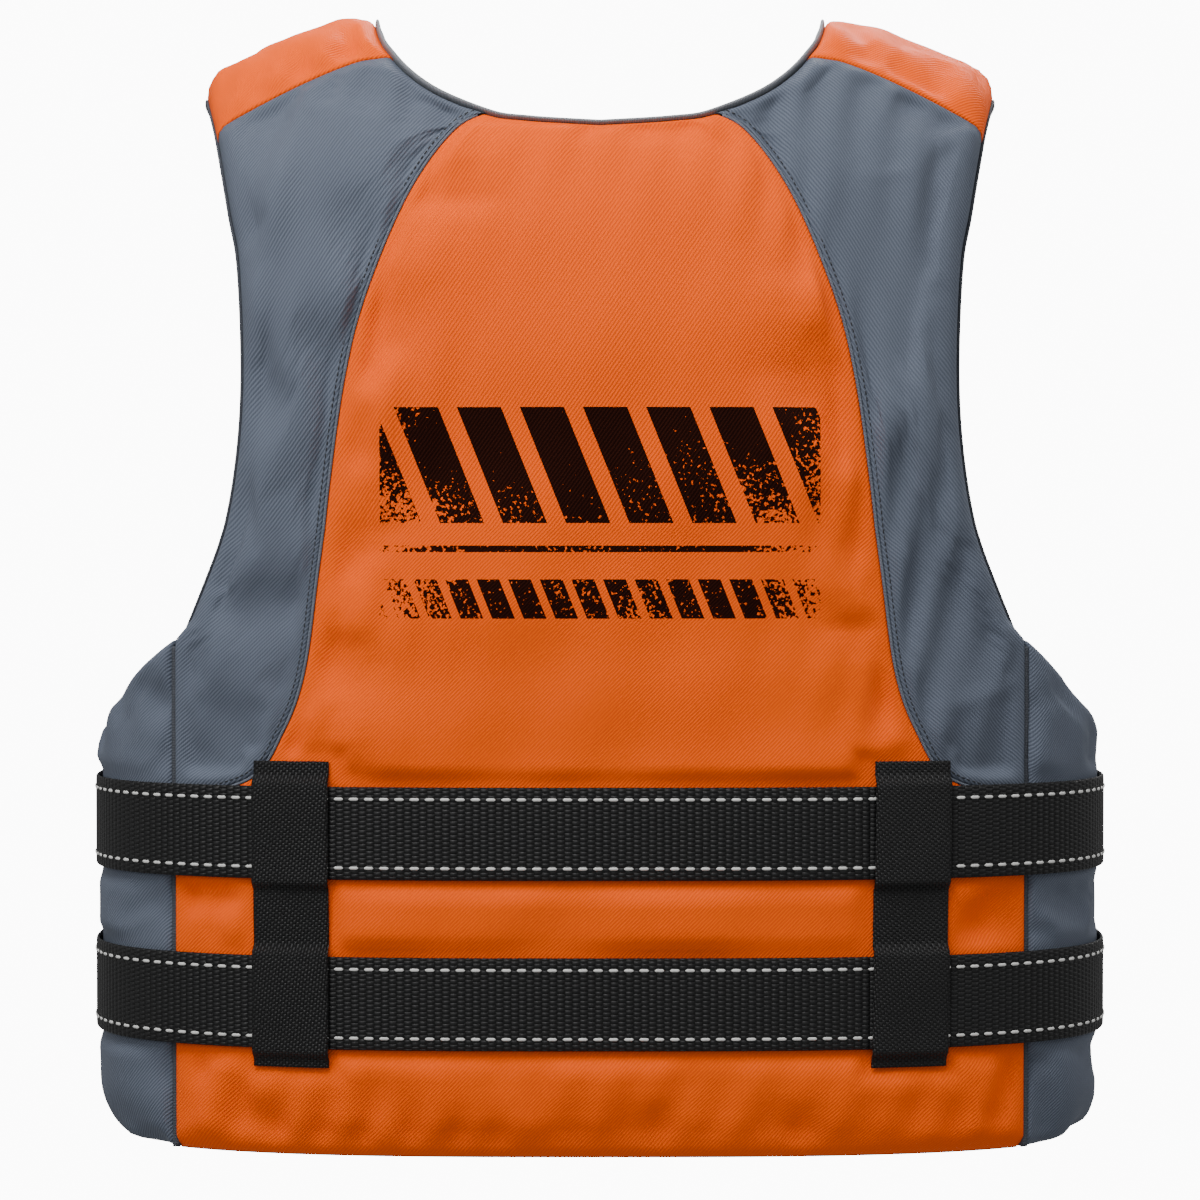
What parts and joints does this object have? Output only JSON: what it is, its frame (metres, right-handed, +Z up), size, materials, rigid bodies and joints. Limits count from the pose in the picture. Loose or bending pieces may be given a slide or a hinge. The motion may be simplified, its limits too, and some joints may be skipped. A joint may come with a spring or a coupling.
{
  "type": "life jacket",
  "caption": "Sleeveless foam buoyancy vest with a front zip, waist webbing belts with side-release buckles, webbing keepers, padded shoulders and side gussets",
  "frame": {"origin": "on the axis of the wearer's trunk, half-way between the sides, in the plane the hem stands on", "axes": "+X wearer's left, +Y out of the back, -Y out of the front, +Z up towards the shoulders"},
  "size_m": [0.5724, 0.2988, 0.6292],
  "materials": {
    "orange_cloth": "woven polyester twill, matt with a soft sheen",
    "grey_cloth": "woven polyester twill, matt",
    "lining": "close mesh lining cloth",
    "foam": "closed-cell buoyancy foam",
    "binding": "folded grosgrain tape",
    "webbing": "ribbed polypropylene webbing",
    "buckle": "moulded acetal",
    "zip_tape": "woven zip tape",
    "zip_teeth": "moulded plastic teeth",
    "zip_metal": "plated zinc casting"
  },
  "bodies": {
    "vest": {"back_foam": "foam", "back_lining": "lining", "back_centre_panel": "orange_cloth", "back_side_panel_left": "grey_cloth", "front_yoke_left": "grey_cloth", "front_foam_left": "foam", "front_lining_left": "lining", "front_panel_left": "orange_cloth", "shoulder_cap_left": "orange_cloth", "shoulder_tab_left": "orange_cloth", "shoulder_pad_left": "foam", "shoulder_lining_left": "lining", "armhole_binding_left": "binding", "side_gusset_left": "grey_cloth", "side_pad_left": "foam", "back_keeper_left": "webbing", "front_keeper_left": "webbing", "zip_tape_left": "zip_tape", "zip_teeth_left": "zip_teeth", "zip_stop_left": "zip_metal", "back_side_panel_right": "grey_cloth", "front_yoke_right": "grey_cloth", "front_foam_right": "foam", "front_lining_right": "lining", "front_panel_right": "orange_cloth", "shoulder_cap_right": "orange_cloth", "shoulder_tab_right": "orange_cloth", "shoulder_pad_right": "foam", "shoulder_lining_right": "lining", "armhole_binding_right": "binding", "side_gusset_right": "grey_cloth", "side_pad_right": "foam", "back_keeper_right": "webbing", "front_keeper_right": "webbing", "zip_tape_right": "zip_tape", "zip_teeth_right": "zip_teeth", "zip_stop_right": "zip_metal", "neck_binding": "binding", "zip_box": "zip_metal", "upper_belt": "webbing", "upper_belt_lead": "webbing", "upper_buckle_female": "buckle", "lower_belt": "webbing", "lower_belt_lead": "webbing", "lower_buckle_female": "buckle"},
    "zip_slider": {"zip_slider": "zip_metal"},
    "zip_pull": {"zip_pull": "zip_metal"},
    "upper_male_half": {"upper_buckle_male": "buckle", "upper_belt_tail": "webbing"},
    "upper_prong_top": {"upper_prong_top": "buckle"},
    "upper_prong_bottom": {"upper_prong_bottom": "buckle"},
    "lower_male_half": {"lower_buckle_male": "buckle", "lower_belt_tail": "webbing"},
    "lower_prong_top": {"lower_prong_top": "buckle"},
    "lower_prong_bottom": {"lower_prong_bottom": "buckle"}
  },
  "joints": [
    {"name": "zip_slide", "type": "slide", "parent": "vest", "child": "zip_slider", "axis": [0, 0, -1], "range_m": [0, 0.412]},
    {"name": "zip_pull_swing", "type": "hinge", "parent": "zip_slider", "child": "zip_pull", "pos_m": [0, -0.1246, 0.444], "axis": [-1, 0, 0], "range_deg": [0, 120]},
    {"name": "upper_buckle_unclip", "type": "slide", "parent": "vest", "child": "upper_male_half", "axis": [-1, 0, 0], "range_m": [0, 0.04], "deforming": ["upper_belt_lead", "upper_prong_top", "upper_prong_bottom"]},
    {"name": "upper_prong_top_squeeze", "type": "hinge", "parent": "upper_male_half", "child": "upper_prong_top", "pos_m": [-0.0026, -0.1487, 0.1955], "axis": [0, 1, 0], "range_deg": [0, 8], "stiffness_Nm_per_rad": 0.6},
    {"name": "upper_prong_bottom_squeeze", "type": "hinge", "parent": "upper_male_half", "child": "upper_prong_bottom", "pos_m": [-0.0026, -0.1487, 0.1555], "axis": [0, -1, 0], "range_deg": [0, 8], "stiffness_Nm_per_rad": 0.6},
    {"name": "lower_buckle_unclip", "type": "slide", "parent": "vest", "child": "lower_male_half", "axis": [-1, 0, 0], "range_m": [0, 0.04], "deforming": ["lower_belt_lead", "lower_prong_top", "lower_prong_bottom"]},
    {"name": "lower_prong_top_squeeze", "type": "hinge", "parent": "lower_male_half", "child": "lower_prong_top", "pos_m": [-0.0026, -0.1487, 0.104], "axis": [0, 1, 0], "range_deg": [0, 8], "stiffness_Nm_per_rad": 0.6},
    {"name": "lower_prong_bottom_squeeze", "type": "hinge", "parent": "lower_male_half", "child": "lower_prong_bottom", "pos_m": [-0.0026, -0.1487, 0.064], "axis": [0, -1, 0], "range_deg": [0, 8], "stiffness_Nm_per_rad": 0.6}
  ]
}
